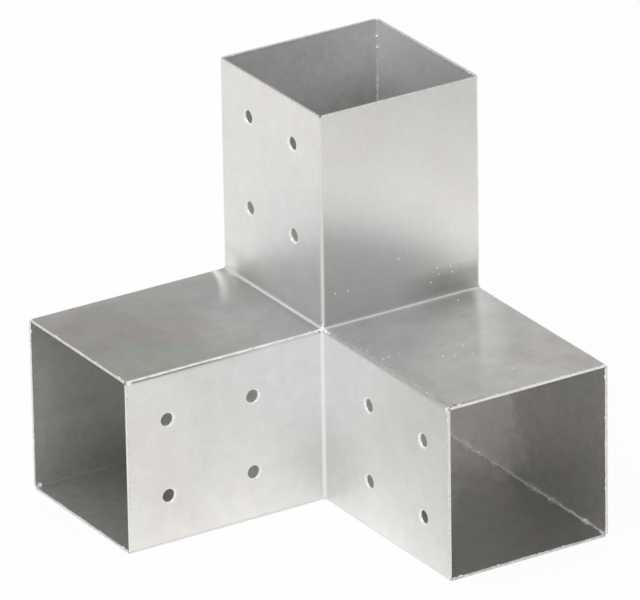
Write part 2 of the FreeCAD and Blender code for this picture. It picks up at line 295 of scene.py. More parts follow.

# Weld metal, and how it fades to the mouth between the painted glints of its blobs on the right sleeve's inner
# bead
WELD_CLOUDS = (500, 3, 0.5)
WELD_TINTS = ((0.30, (0.78, 0.78, 0.76)), (0.55, (0.94, 0.94, 0.93)))
WELD_METALLIC = 0.5
WELD_ROUGHNESS = (700, 2, 0.5, 0.3, 0.7, 0.26, 0.44)
WELD_RELIEF = (1500, 3, 0.5, 0.1 * MM, 0.4)
FADED_METALLIC = 0.2
FADED_RUN = (HALF, MOUTH, 1.0, 0.66)
GLINT = span(0, 1, 3)

# Seams that were ground back: how much the weld metal reflects on each, and how gritty it is
DRESSED = {
    "upright_front_weld": (0.74, 0.03),
    "right_top_weld": (0.66, 0.09),
    "base_front_weld": (0.82, 0.04),
    "base_left_fillet": (0.64, 0.07),
}
DRESSED_TINT = (1.0, 0.992, 0.972)
DRESSED_CLOUDS = (900, 3, 0.6)
DRESSED_STOPS = (0.35, 0.65)
DRESSED_METALLIC = 0.9
DRESSED_ROUGHNESS = (0.3, 0.7, 0.36, 0.44)
DRESSED_RELIEF = (900, 2, 0.5, 0.03 * MM, 0.3)

# The left sleeve's top seam: a bright ragged crest of weld metal whitened as a painted highlight, and a painted
# shadow in front of it
CREST_TINT = (1.0, 1.0, 0.985)
CREST_EDGE = span(0, 0.47, 0.77, 1.0, 0.0)
CREST_RAGGED = (260, 5, 0.7, 0.3, 0.7, -0.55 * MM, 0.45 * MM)
CREST_SIDES = 0.80
CREST_METALLIC = (0.0, 1.0, 1.0, 0.15)
CREST_ROUGHNESS = (0.0, 1.0, 0.41, 0.30)
CREST_RELIEF = (1500, 3, 0.5, 0.05 * MM, 0.3)
CREST_SHADOW_DEPTH = span(0, 0.7, 1.0, 0.0, 1.0)
CREST_SHADOW = span(HALF, 35, 80, 0.0, 0.45)

# Shapes of the seams: their stations, rounded ends, ripples and lumps, with depths in parts of the sheet
STEP = 0.4 * MM
SECTION_STEPS = 8
SEED_STRIDES = (7.31, 1.93)
NOSE = 1.2 * MM
NOSE_TIP = 0.15
RIPPLE_PITCH = 1.7 * MM
RIPPLE_BOW = 0.5
RIPPLE_WANDER = 0.6
WAVE_LENGTH = 5 * MM
LUMP_LENGTH = 7 * MM
RIPPLE_DEPTH = 0.05
LUMP_DEPTH = 0.10
TOE_DEPTH = 0.08

# Ground, gritty and crested seams: how full they are, their waves and toes, and the size, the turn about the
# section and the height of their grit
GROUND_FILL, GROUND_WAVE, GROUND_WAVE_LENGTH, GROUND_TOE = 0.96, 0.02, 21 * MM, 0.04
GRITTY_FILL, GRITTY_WAVE, GRITTY_WAVE_LENGTH = 0.97, 0.05, 3 * MM
GRITTY_GRAIN = (0.8 * MM, 2.5, 0.09)
CREST_FILL, CREST_WAVE, CREST_SQUARENESS = 0.965, 0.05, 3.6
CREST_GRAIN = (1.1 * MM, 2.0, 0.05)

# Burrs on the cut rims of the three mouths: their height, and in parts of it their edge, grain and beads
BURR = 0.7 * MM
BURR_SETBACK = 0.05 * MM
BURR_LEAST, BURR_EDGE = 0.15, 0.35
BURR_GRAIN, BURR_GRAIN_LENGTH, BURR_GRAIN_ROW = 0.3, 0.9 * MM, 1.7
BURR_BEADS, BURR_BEAD_LENGTH, BURR_BEAD_ROW, BURR_BEAD_SINK = 1.6, 1.9 * MM, 8.3, 0.1

# Beads inside the three outer corners: the radius of their drops at the block and at the mouth, and where
# larger blobs sit along them, with the size of each in drops
FILLETS = {
    "base_left_fillet": (0.28 * MM, 0.28 * MM, ((135 * MM, 1.0),)),
    "base_right_fillet": (0.80 * MM, 0.52 * MM, (
        (24 * MM, 1.2), (39 * MM, 1.6), (53.5 * MM, 1.8), (68 * MM, 1.4), (109 * MM, 1.7),
        (125.5 * MM, 1.7), (159 * MM, 1.4))),
    "upright_rear_fillet": (0.38 * MM, 0.38 * MM, ((213.5 * MM, 1.0), (219.5 * MM, 1.0))),
}
FILLET_FUSE = 0.17 * MM

# Drops of those beads: the bead's own, its blobs', the spray about a blob and the fringe, with sizes and offsets
# in parts of the bead's radius, and runs along the bead in millimetres
DROP_SIZES, DROP_ASIDE, DROP_GAPS, DROP_LIFT = (0.6, 1.25), 0.4, (0.7, 1.5), 0.7
BLOB_DROPS, BLOB_SIZES, BLOB_ASIDE, BLOB_RUN = 5, (0.9, 1.7), 0.9, 1.5
SPRAY_DROPS, SPRAY_SIZES, SPRAY_OFFSETS, SPRAY_RUN = 8, (0.4, 0.75), (1.2, 3.0), 2.0
FRINGE_SIZES, FRINGE_OFFSETS, FRINGE_SPACING = (0.45, 0.8), (1.0, 2.6), 1.0 * MM

# The ridge at the junction: its core, and drops along the three seams, each with its reach, sizes in millimetres
FUSE = 0.12 * MM
RIDGE_SEED = 11
CORE_RADIUS = 2.2 * MM
CORE_SINK = 0.7 * MM
RIDGE_REACH = ((X, 10 * MM), (Y, 6 * MM), (Z, 2.5 * MM))
RIDGE_START = 1.0 * MM
RIDGE_SINK = 0.45 * MM
RIDGE_SIZES, RIDGE_ASIDE, RIDGE_GAPS = (0.55, 0.95), 0.35, (0.7, 1.3)

# Dabs at the mouths, on the front walls and in the corners of the floor: how far back from the mouth, below the
# top, out from the wall and above the floor, and their sizes in millimetres
DAB_SEED = 5
DAB_DROPS, DAB_SIZES, DAB_SINK, DAB_HEIGHT = 8, (0.6, 1.1), 0.2 * MM, 0.5 * MM
DAB_BACK, DAB_BELOW = span(MOUTH, -3.0, -1.3), span(BLOCK, -2.4, -0.4)
CORNER_DROPS, CORNER_SIZES = 4, (0.6, 1.0)
CORNER_BACK, CORNER_OUT, CORNER_ABOVE = span(MOUTH, -3.5, -1.5), span(-INSIDE, 0.0, 1.2), span(0, 1.6, 2.6)

# Drops of spatter on the right sleeve's top (x, y) and on the upright above it (x, z), in millimetres, and the
# finer grit that lies along the right sleeve's seam
SPATTER_SEED = 3
SLEEVE_SPATTER = ((46.7, 89.7), (45.9, 104.3), (34.4, 102.4), (41.8, 103.9), (16.6, 119.3), (10.8, 122.5),
                  (-0.3, 113.0), (1.3, 126.0), (-16.7, 120.6), (-6.4, 154.2), (-31.6, 60.4))
UPRIGHT_SPATTER = ((1.9, 134.3), (-23.7, 122.3), (-24.6, 118.4), (-32.3, 121.4), (-33.2, 117.8),
                   (-19.3, 114.6), (43.3, 123.4), (35.2, 122.9))
SPATTER_RADIUS = 0.48 * MM
SPATTER_SIZES, SPATTER_HEIGHT = (0.75, 1.3), 0.55
GRIT_COUNT = 110
GRIT_REACH = 2.4 * MM
GRIT_RADIUS = 0.27 * MM
DROP_UNEVEN, DROP_GRAIN = 0.3, 1.7

# Bolt holes, and the rolled lip that the punch left on each
HOLE_RADIUS = 4.5 * MM
HOLE_SETBACK = 26 * MM
HOLE_PITCH_ALONG = 55 * MM
HOLE_PITCH_ACROSS = 46 * MM
LIP_ROUNDING = 1.2 * MM
LIP_INSET = 0.75 * MM
LIP_OVERLAP = 0.1 * MM
LIP_FOOT, LIP_CHAMFER = 0.9, 0.3
LIP_STEPS = 64
LIP_ARC_STEPS = 8
LIP_UNEVEN, LIP_GRAIN = 0.12 * MM, 1.5

# Edges of the sheets and of the pieces
SHARP = math.radians(50)
FLAT = math.radians(1)
JOIN_GAP = 0.001 * MM
EASED_WIDTH = 0.35 * MM
EASED_STEPS = 3


# Node helpers
def maths(operation, swapped=False):
    """A method of Field that adds a maths node, its operands swapped where the field comes second."""
    def method(self, other=0.0):
        first, second = (other, self) if swapped else (self, other)
        return field(self.tree, "ShaderNodeMath", "Value", {0: first, 1: second}, operation=operation)
    return method


class Field:
    """A value over a surface, from a node's output. Its arithmetic adds the nodes that it needs."""

    def __init__(self, tree, socket):
        self.tree = tree
        self.socket = socket

    __add__ = __radd__ = maths("ADD")
    __sub__ = maths("SUBTRACT")
    __rsub__ = maths("SUBTRACT", swapped=True)
    __mul__ = __rmul__ = maths("MULTIPLY")
    __truediv__ = maths("DIVIDE")
    __rpow__ = maths("POWER", swapped=True)
    __abs__ = maths("ABSOLUTE")
    lower = maths("MINIMUM")
    higher = maths("MAXIMUM")


def plug(made, inputs):
    """Links a field to each of a node's inputs, or sets a value there."""
    for key, value in inputs.items():
        if isinstance(value, Field):
            value.tree.links.new(value.socket, made.inputs[key])
        else:
            made.inputs[key].default_value = value


def new_node(tree, kind, inputs, **settings):
    """A node of that kind, with its settings and its inputs."""
    made = tree.nodes.new(kind)
    for key, value in settings.items():
        setattr(made, key, value)
    plug(made, inputs)
    return made


def field(tree, kind, output, inputs, **settings):
    """The field that a new node puts out."""
    return Field(tree, new_node(tree, kind, inputs, **settings).outputs[output])


def new_material(name):
    """A node material, and where a point of its surface is on the object, in metres."""
    material = bpy.data.materials.new(name)
    material.use_nodes = True
    return material, field(material.node_tree, "ShaderNodeTexCoord", "Object", {})


def coat(material, colour, metallic, roughness, normal):
    """The material with these on its Principled shader, each a field or a value."""
    plug(material.node_tree.nodes["Principled BSDF"], {
        "Base Color": colour, "Metallic": metallic, "Roughness": roughness, "Normal": normal})
    return material


def highest(first, *others):
    """The highest of several fields."""
    for other in others:
        first = first.higher(other)
    return first


def lowest(first, second):
    """The lower of two fields."""
    return first.lower(second)


def axes(vector):
    """The three parts of a vector."""
    parts = new_node(vector.tree, "ShaderNodeSeparateXYZ", {"Vector": vector}).outputs
    return [Field(vector.tree, parts[axis]) for axis in "XYZ"]


def measure(operation, vector, other):
    """A number from a vector and a fixed vector."""
    return field(vector.tree, "ShaderNodeVectorMath", "Value", {0: vector, 1: other}, operation=operation)


def distance(vector, point):
    """How far a place is from a point."""
    return measure("DISTANCE", vector, point)


def along(vector, direction):
    """How far a place is along a direction."""
    return measure("DOT_PRODUCT", vector, direction)


def noise_at(place, scale, detail, roughness):
    """Noise about 0.5 over space, at so many features a metre."""
    return field(place.tree, "ShaderNodeTexNoise", "Fac", {
        "Vector": place, "Scale": scale, "Detail": detail, "Roughness": roughness})


def spread(value, low, high, to_low, to_high):
    """A field mapped from one range to another and held at its ends."""
    return field(value.tree, "ShaderNodeMapRange", "Result", {
        "Value": value, "From Min": low, "From Max": high, "To Min": to_low, "To Max": to_high})


def varied(place, scale, detail, roughness, *change):
    """A texture: noise, with a change over it."""
    return spread(noise_at(place, scale, detail, roughness), *change)


def within(value, low, high, soft):
    """1 where a field lies between two limits, fading to 0 outside them."""
    return spread(value, low - soft, low, 0.0, 1.0) * spread(value, high, high + soft, 1.0, 0.0)


def on_face(value, level):
    """1 on a face, and 0 off it."""
    return within(value, level - SLACK, level + SLACK, SLACK)


def from_face(value, level):
    """1 from a face outwards, and 0 behind it."""
    return spread(value, level - 2 * SLACK, level - SLACK, 0.0, 1.0)


def ramp(value, stops):
    """A colour ramp of (position, colour) stops over a field."""
    made = new_node(value.tree, "ShaderNodeValToRGB", {"Fac": value})
    elements = made.color_ramp.elements
    while len(elements) < len(stops):
        elements.new(1.0)
    for element, (stop, colour) in zip(elements, stops):
        element.position = stop
        element.color = (*colour, 1.0)
    return Field(value.tree, made.outputs["Color"])


def blend(factor, first, second, kind="MIX"):
    """Two fields or colours mixed by a factor."""
    tree = next(value.tree for value in (factor, first, second) if isinstance(value, Field))
    first, second = ((*value, 1.0) if isinstance(value, tuple) else value for value in (first, second))
    inputs = {0: factor, 6: first, 7: second}
    return field(tree, "ShaderNodeMix", 2, inputs, data_type="RGBA", blend_type=kind)


def relief(place, scale, detail, roughness, depth, strength):
    """The normal of a skin with so deep a noise in it."""
    return field(place.tree, "ShaderNodeBump", "Normal", {
        "Height": noise_at(place, scale, detail, roughness), "Distance": depth, "Strength": strength})


# Zinc on the sheets
def outer_tint(place, fold=None, stain=None):
    """Colour of the zinc outside: neutral about the junction, with faint passivation tints away from it."""
    x, y, z = axes(place)
    cloud = noise_at(place, *TINT_CLOUDS)
    strength = TINT_STRENGTH
    if fold == "YZ":
        cloud = cloud - spread(z, *GREEN_HEIGHT) * spread(x, *GREEN_SIDE)
    if fold == "XY":
        cloud = cloud + spread(x - y, *ROSY_SIDE)
        strength = spread(x - y, *FRONT_TINT_STRENGTH)
    away = spread(distance(place, JUNCTION), *TINT_START)
    colour = blend(away * strength, NEUTRAL_TINT, ramp(cloud, TINTS))
    if fold == "XZ":
        drift = spread(y + (x - HALF) * STAIN_SLANT, *STAIN_RUN) + spread(cloud, *STAIN_WANDER)
        colour = blend(spread(stain, *STAIN_SHOWS), colour, ramp(drift, STAINED_TINTS))
    return colour


def inner_tint(place):
    """Colour of a plate's zinc: brownish in the right sleeve, olive in the left, bluish in the upright."""
    x, y, z = axes(place)
    sleeve = blend(spread(y - x, *TINT_SIDE), LEFT_TINT, RIGHT_TINT)
    return blend(spread(z, *TINT_HEIGHT), sleeve, UPRIGHT_TINT)


def inner_side(name, place):
    """1 on a plate's inner face and 0 on its outer face."""
    x, y, z = axes(place)
    depth = {"base_plate": z, "left_back_plate": y + HALF, "right_back_plate": x + HALF}[name]
    return spread(depth, *MID_SHEET)


def mouth_stain(place, stains):
    """How much a stain takes from what an angle reflects, towards the left and the right mouth."""
    x, y, z = axes(place)
    left = spread(x, *LEFT_STAIN, 0.0, stains[0]) * spread(y, *LEFT_STAIN_SIDE)
    right = spread(y, *RIGHT_STAIN, 0.0, stains[1])
    return spread(z, *STAIN_HEIGHT) * highest(left, right)


def reflection_streak(place, corner, bow, width, length):
    """A painted reflection: a pale streak over a sleeve's top, from the end of a fold, bent at its start by a bow.
    """
    ahead = along(place, STREAK_ALONG) - corner.dot(STREAK_ALONG)
    aside = along(place, STREAK_ASIDE) - corner.dot(STREAK_ASIDE) + bow * STREAK_DECAY ** (ahead / MM)
    sides = spread(aside, -width[0], 0.0, 0.0, 1.0) * spread(aside, 0.0, width[1], 1.0, 0.0)
    return sides * spread(ahead, STREAK_FADE * length, length, 1.0, 0.0)


def front_shade(place):
    """Painted shade on the front walls, at the foot of their fold and below their seams."""
    x, _, z = axes(place)
    under_seam_shadow = spread(z, *UNDER_SEAM_SHADOW_HEIGHT) * spread(x, *UNDER_SEAM_SHADOW)
    return highest(under_seam_shadow, spread(distance(place, FOLD_FOOT), *FOOT_SHADE))


def right_top_shade(place):
    """Painted shade on the right sleeve's top along its seam and at its back corner, and the ragged dark fringe at
    its front corner.
    """
    x, y, _ = axes(place)
    # Painted shade along the seam and at the back corner
    seam = spread(x, *SEAM_SHADE) * spread(y, *SEAM_SHADE_RUN)
    back = spread(x, *BACK_CORNER_SHADE) * spread(y, *BACK_CORNER_RUN)
    inset = lowest(HALF - x, MOUTH - y) + varied(place, *FRINGE_RAGGED)
    fringe = spread(inset, *FRINGE) * spread(distance(place, FRINGE_CORNER), *FRINGE_REACH)
    return highest(seam, back, fringe)


def fold_light_and_shade(place, fold):
    """Painted light about an angle's fold: painted shade beside it, and painted highlights and reflections on and
    about it.
    """
    x, y, z = axes(place)
    across = {"X": x - HALF, "Y": y - HALF, "Z": z - BLOCK}
    first, second = (across[axis] for axis in fold)
    outside = from_face(lowest(first, second), 0.0)
    # Painted highlight on the fold
    painted_highlight = outside * spread(first + second, *FOLD_HIGHLIGHT_REACH[fold], 1.0, 0.0) * FOLD_HIGHLIGHT
    if fold == "XY":
        return front_shade(place), painted_highlight
    top = on_face(z, BLOCK)
    # Painted shade beside the fold and about the junction
    beside = top * within(first, *BESIDE_FOLD) * FOLD_SHADE[fold]
    beside = highest(beside, spread(distance(place, JUNCTION), *JUNCTION_SHADE) * spread(z, *ABOVE_FOLD))
    if fold == "XZ":
        # A painted glow at the fold's end, and a patch of painted shade beside it
        painted_highlight = highest(painted_highlight, spread(distance(place, FOLD_END_GLOW_CENTRE), *FOLD_END_GLOW) * outside)
        fold_end_shade = within(z, *FOLD_END_SHADE_HEIGHT) * spread(y, *FOLD_END_SHADE_SIDE) * spread(y, *FOLD_END_SHADE_EDGE)
        beside = highest(beside, fold_end_shade)
    else:
        beside = beside + top * right_top_shade(place)
    # Painted reflection streaks over the sleeve's top, and a wash of bloom and painted light
    *shape, whiteness, bloom_and_light = REFLECTION_STREAKS[fold]
    streak_light = reflection_streak(place, *shape) * whiteness + bloom_and_light
    return beside, highest(painted_highlight, streak_light * top)


def upright_shade(place):
    """Painted reflection on the upright's right wall: darker about the junction, up to a slanting line, with
    painted shade at its lower right.
    """
    x, _, z = axes(place)
    rise = z - BLOCK - ((x + HALF) * WALL_SLANT + WALL_LIFT)
    low, high = WALL_BANDS[0][0], WALL_BANDS[-1][0]
    stops = [((height - low) / (high - low), (reflected,) * 3) for height, reflected in WALL_BANDS]
    shade = ramp(spread(rise, low * MM, high * MM, 0.0, 1.0), stops)
    # Painted shade at the wall's lower right
    return shade * (1.0 - spread(x, *LOWER_RIGHT_SHADE_SIDE) * within(z, *LOWER_RIGHT_SHADE_HEIGHT))


def angle_shade(place, fold, reflected, stain):
    """How much a folded angle reflects, with painted shade about its fold, and the painted highlights on and about
    it.
    """
    _, _, z = axes(place)
    clouds = varied(place, *SOFT_CLOUDS, -FOLD_CLOUDS[fold], FOLD_CLOUDS[fold]) * spread(z, *CLOUDS_ABOVE)
    shade = varied(place, *EVEN_MOTTLE) * (1.0 + clouds) * (spread(z, 0.0, FOOT_HEIGHT, *reflected) - stain)
    if fold == "YZ":
        shade = blend(spread(z, *WALL_START), shade, upright_shade(place))
    beside, painted_highlight = fold_light_and_shade(place, fold)
    return shade * (1.0 - beside), painted_highlight


def plate_shade(name, place, inside, reflected):
    """How much a plate reflects: patchy outside, blotchy inside, with painted light deep in the sleeves and on the
    left floor, and painted shade at the left wall's foot.
    """
    x, y, z = axes(place)
    patchy = varied(place, *EVEN_MOTTLE) * varied(place, *BROAD_PATCHES)
    shade = blend(inside, patchy, varied(place, *INNER_MOTTLE)) * spread(inside, 0.0, 1.0, *reflected)
    left = inside * spread(x - y, *LEFT_SIDE)
    # Painted light deep in the left sleeve and on its floor, and painted shade at its wall's foot
    shade = shade * (left * spread(x, *LEFT_DEPTH, DEEP_GAIN, 0.0) + 1.0)
    if name == "base_plate":
        shade = shade * spread(left, 0.0, 1.0, 1.0, LEFT_FLOOR_GAIN)
    if name == "left_back_plate":
        foot = left * spread(z, *LEFT_FOOT_HEIGHT) * spread(x, *LEFT_DEPTH, 0.0, 1.0)
        shade = shade * spread(foot, 0.0, 1.0, 1.0, LEFT_WALL_FOOT_SHADE)
    # Painted sheen deep inside
    if name in DEEP_SHEEN:
        depth = highest(x, y) + varied(place, *SHEEN_EDGE)
        shade = shade + inside * spread(depth, *DEEP_SHEEN[name])
    return shade


def inside_bloom_and_light(place, bloom_and_light):
    """White bloom on the walls inside, partly painted light, thickest at the left mouth and the upright's top, and
    where that top is.
    """
    x, y, z = axes(place)
    across_x, across_y = (within(axis, -INSIDE, INSIDE, BLOOM_LIGHT_EDGE) for axis in (x, y))
    beyond_x, beyond_y = (spread(axis, -INSIDE - BLOOM_LIGHT_EDGE, -INSIDE, 0.0, 1.0) for axis in (x, y))
    across_z = within(z, SHEET, BLOCK - SHEET, BLOOM_LIGHT_EDGE)
    sleeves = highest(beyond_x * across_y, beyond_y * across_x) * across_z
    left = bloom_and_light * spread(x, *LEFT_MOUTH_BLOOM_LIGHT) * spread(z, *LEFT_BLOOM_LIGHT_HEIGHT)
    rightward = y - x
    near = blend(spread(rightward, *BLOOM_LIGHT_SIDE), left, (bloom_and_light,) * 3)

    away = highest(x, y) + INSIDE
    upright = across_x * across_y * spread(z + away * BLOOM_LIGHT_SLANT, *UPRIGHT_BLOOM_LIGHT_START)
    rear = (UPRIGHT_BLOOM_LIGHT * spread(away, *UPRIGHT_BLOOM_LIGHT_CORNER) * spread(away, *UPRIGHT_BLOOM_LIGHT_FAR)
            * spread(rightward, *UPRIGHT_BLOOM_LIGHT_SIDE) * spread(z, *UPRIGHT_BLOOM_LIGHT_RIM))
    deep = across_x * across_y * within(z, *DEEP_BLOOM_LIGHT_HEIGHT) * DEEP_BLOOM_LIGHT
    return highest(sleeves * near, upright * rear, deep) * varied(place, *BLOOM_LIGHT_DUST), upright


def cut_edges(place):
    """Thick rough zinc on the walls of the punched holes and, thinner, on the cut rims."""
    x, y, z = axes(place)
    rims = highest(from_face(highest(x, y), MOUTH) * MOUTH_DULLNESS, from_face(z, TOP) * TOP_DULLNESS)
    dull = rims * varied(place, *RIM_CRUST)
    upward = (z, HOLES_CLEAR, BLOCK - HOLES_CLEAR)
    for depth, run, start, end, (across, low, high) in (
            (y, x, HALF, MOUTH, upward),
            (x, y, HALF, MOUTH, upward),
            (x, z, BLOCK, TOP, (y, HOLES_CLEAR - HALF, HALF - HOLES_CLEAR))):
        wall = (within(depth, INSIDE + SLACK, HALF - SLACK, SLACK / 2)
                * within(run, start + HOLES_CLEAR, end - HOLES_CLEAR, SLACK) * within(across, low, high, SLACK))
        dull = highest(dull, wall)
    return dull


def rim_specks(place):
    """How dark the specks are that the cutting left along the rims."""
    x, y, z = axes(place)
    inset = lowest(MOUTH - highest(x, y), TOP - z)
    return within(inset, *SPECKS_INSET) * varied(place, *RIM_SPECKS)


def galvanised_sheet(name, reflected, stains, fold, bloom_and_light, grain):
    """Satin zinc on sheet: passivation tints, soft mottling, a fine grain and a dull bloom inside that is partly
    painted light, with painted light and shade about the folds and inside the sleeves.
    """
    material, place = new_material(name + "_zinc")
    dull, upright = inside_bloom_and_light(place, bloom_and_light)
    if fold:
        stain = mouth_stain(place, stains)
        colour = outer_tint(place, fold, stain)
        shade, painted_highlight = angle_shade(place, fold, reflected, stain)
        dull = highest(dull, painted_highlight)
    else:
        inside = inner_side(name, place)
        colour = blend(inside, outer_tint(place), inner_tint(place))
        shade = plate_shade(name, place, inside, reflected)
    dull = highest(dull, cut_edges(place))
    shade = shade * (1.0 - rim_specks(place)) * varied(place, *SPECKLE, 1 - grain, 1 + grain)
    colour = blend(1.0, colour, shade, "MULTIPLY")
    dull_white = blend(upright, SLEEVE_DULL_WHITE, UPRIGHT_DULL_WHITE)
    return coat(material, blend(dull, colour, dull_white), 1.0 - dull,
                varied(place, *SHEET_ROUGHNESS), relief(place, *SHEET_RELIEF))


# Zinc and weld metal on the pieces
def rolled_zinc():
    """Smooth bright zinc that gathered on the lips of the punched holes and on the burrs."""
    material, place = new_material("rolled_zinc")
    cloud = noise_at(place, *LIP_CLOUDS)
    return coat(material, ramp(cloud, LIP_TINTS), LIP_METALLIC,
                spread(cloud, *LIP_ROUGHNESS), relief(place, *LIP_RELIEF))


def dressed_weld(name, reflected, grit):
    """Weld metal ground or worn back: satin, with more or less grit in its skin."""
    material, place = new_material(name + "_dressed")
    cloud = noise_at(place, *DRESSED_CLOUDS)
    levels = (reflected - grit, reflected + grit)
    stops = [(stop, tuple(level * part for part in DRESSED_TINT)) for stop, level in zip(DRESSED_STOPS, levels)]
    return coat(material, ramp(cloud, stops), DRESSED_METALLIC,
                spread(cloud, *DRESSED_ROUGHNESS), relief(place, *DRESSED_RELIEF))


def crest_weld():
    """Weld metal of the left sleeve's top seam: zinc, with a bright ragged crest whitened as a painted highlight
    and a painted shadow in front.
    """
    material, place = new_material("crest_weld")
    x, y, z = axes(place)
    below = BLOCK - z
    # A bright ragged crest whitened as a painted highlight, and a painted shadow below it in front
    crest = spread(highest(below, HALF - y) + varied(place, *CREST_RAGGED), *CREST_EDGE)
    sides = CREST_SIDES - spread(below, *CREST_SHADOW_DEPTH) * spread(x, *CREST_SHADOW)
    return coat(material, blend(crest, sides, CREST_TINT), spread(crest, *CREST_METALLIC),
                spread(crest, *CREST_ROUGHNESS), relief(place, *CREST_RELIEF))


def weld_metal(name, faded=False):
    """Bright weld metal with a rough, beaded skin, on the right sleeve's inner bead darker between painted glints
    at its blobs.
    """
    material, place = new_material(name)
    shade = ramp(noise_at(place, *WELD_CLOUDS), WELD_TINTS)
    if faded:
        _, y, _ = axes(place)
        level = spread(y, *FADED_RUN)
        # Painted glints at the blobs
        for blob, size in FILLETS["base_right_fillet"][2]:
            level = highest(level, spread(abs(y - blob), size * GLINT[0], size * GLINT[1], 1.0, 0.0))
        shade = blend(1.0, shade, level, "MULTIPLY")
    return coat(material, shade, FADED_METALLIC if faded else WELD_METALLIC,
                varied(place, *WELD_ROUGHNESS), relief(place, *WELD_RELIEF))


# Paths of the beads
def line(start, end, root, across, up):
    """Stations along a straight corner: each is the section's root and its two directions."""
    count = max(2, round((end - start).length / STEP))
    return [(start.lerp(end, i / count) + root, across, up) for i in range(count + 1)]


def seam_line(start, end, across, up):
    """Stations of a seam in the open corner of two sheets, whose outer faces look across and up."""
    return line(start, end, -SHEET * (across + up), across, up)


def corner_seam(run, start, end, across, up):
    """Stations of a seam along the outer corner of two walls, which look across and up."""
    corner = HALF * across + (BLOCK * Z if up == Z else Vector() if up == -Z else HALF * up)
    return seam_line(corner + start * run, corner + end * run, across, up)


def seam_round_fold(corner, first, second, up):
    """Stations of a seam that follows one leg of a folded sheet, its fold and its other leg."""
    centre = corner + FOLD_RADIUS * (first + second)
    reach = SEAM_END - HALF
    stations = seam_line(corner + reach * first, corner + FOLD_RADIUS * first, second, up)
    turns = round(math.pi / 2 * (FOLD_RADIUS + SHEET) / STEP)
    for i in range(1, turns):
        angle = math.pi / 2 * i / turns
        across = math.cos(angle) * second + math.sin(angle) * first
        stations.append((centre - (FOLD_RADIUS + SHEET) * across - SHEET * up, across, up))
    return stations + seam_line(corner + FOLD_RADIUS * second, corner + reach * second, first, up)


def rim_paths(run, end):
    """Stations on a mouth's four rims: the outer faces of its inner walls, the inner faces of its outer walls."""
    sides = [axis for axis in (X, Y, Z) if axis != run]
    for out, rim in (sides, sides[::-1]):
        near, far = (BLOCK, SHEET) if out == Z else (HALF, -INSIDE)
        start, stop = (SHEET + BURR, BLOCK - SHEET - BURR) if rim == Z else (BURR - INSIDE, INSIDE - BURR)
        for face in (near, far):
            edge = (end - BURR_SETBACK) * run + face * out
            yield line(edge + start * rim, edge + stop * rim, Vector(), out, -run)


# Faces of the beads: each reach says how far the face is from the root of its section, for the distance travelled
# along the bead, the angle about the root and the bead's total length
def wobble(travelled, length, seed):
    """Smooth seeded noise along a bead, from about -1 to 1."""
    return noise.noise(Vector((travelled / length, seed * SEED_STRIDES[0], seed * SEED_STRIDES[1])))


def face_grit(travelled, angle, seed, size, turn, height):
    """Fine seeded noise over a bead's face."""
    return height * noise.noise(Vector((travelled / size, turn * angle, seed)))


def rounded_end(travelled, total):
    """How full a bead is near its ends, from 0 to 1."""
    gap = min(travelled, total - travelled, NOSE) / NOSE
    return max(NOSE_TIP, math.sqrt(max(0.0, 1 - (1 - gap) ** 2)))


def burr_reach(travelled, angle, total):
    """A burr on a rim: a thin edge with uneven beads."""
    grain = noise.noise(Vector((travelled / BURR_GRAIN_LENGTH, total / MM, BURR_GRAIN_ROW)))
    beads = noise.noise(Vector((travelled / BURR_BEAD_LENGTH, total / MM, BURR_BEAD_ROW)))
    beads = max(0.0, beads - BURR_BEAD_SINK)
    return BURR * max(BURR_LEAST, BURR_EDGE + BURR_GRAIN * grain + BURR_BEADS * beads)


def ground_reach(seed, travelled, angle, total):
    """A seam that was ground back: a smooth filled corner."""
    wave = GROUND_WAVE * wobble(travelled, GROUND_WAVE_LENGTH, seed)
    return SHEET * (GROUND_FILL + wave - GROUND_TOE * (1 - math.sin(2 * angle)))


def gritty_reach(seed, travelled, angle, total):
    """A gritty seam: a corner with a ragged, worn edge."""
    wave = GRITTY_WAVE * wobble(travelled, GRITTY_WAVE_LENGTH, seed)
    rough = face_grit(travelled, angle, seed, *GRITTY_GRAIN)
    return SHEET * rounded_end(travelled, total) * (GRITTY_FILL + rough + wave)


def crest_reach(seed, travelled, angle, total):
    """The left sleeve's top seam: a nearly square corner with a ragged crest."""
    parts = math.cos(angle) ** CREST_SQUARENESS + math.sin(angle) ** CREST_SQUARENESS
    corner = parts ** (-1 / CREST_SQUARENESS)
    wave = CREST_WAVE * wobble(travelled, WAVE_LENGTH, seed)
    rough = face_grit(travelled, angle, seed, *CREST_GRAIN)
    ragged = CREST_FILL + math.sin(2 * angle) * (rough + wave)
    return SHEET * rounded_end(travelled, total) * corner * ragged


def rippled_reach(seed, travelled, angle, total):
    """A seam as it was laid: a filled corner with fine ripples."""
    bow = RIPPLE_BOW * RIPPLE_PITCH * math.sin(2 * angle)
    phase = (travelled + bow) / RIPPLE_PITCH + RIPPLE_WANDER * wobble(travelled, WAVE_LENGTH, seed + 0.5)
    ripple = RIPPLE_DEPTH * (0.5 - 0.5 * math.cos(2 * math.pi * phase))
    lump = LUMP_DEPTH * (0.5 + 0.5 * wobble(travelled, LUMP_LENGTH, seed))
    toe = TOE_DEPTH * (1 - math.sin(2 * angle))
    return SHEET * rounded_end(travelled, total) * (1 - ripple - lump - toe)


def seam_reach(node, seed):
    """The face of a seam, by the CAD node that it stands for."""
    if node == "left_top_weld":
        return partial(crest_reach, seed)
    if node == "right_top_weld":
        return partial(gritty_reach, seed)
    return partial(ground_reach, seed) if node in DRESSED else partial(rippled_reach, seed + 1)


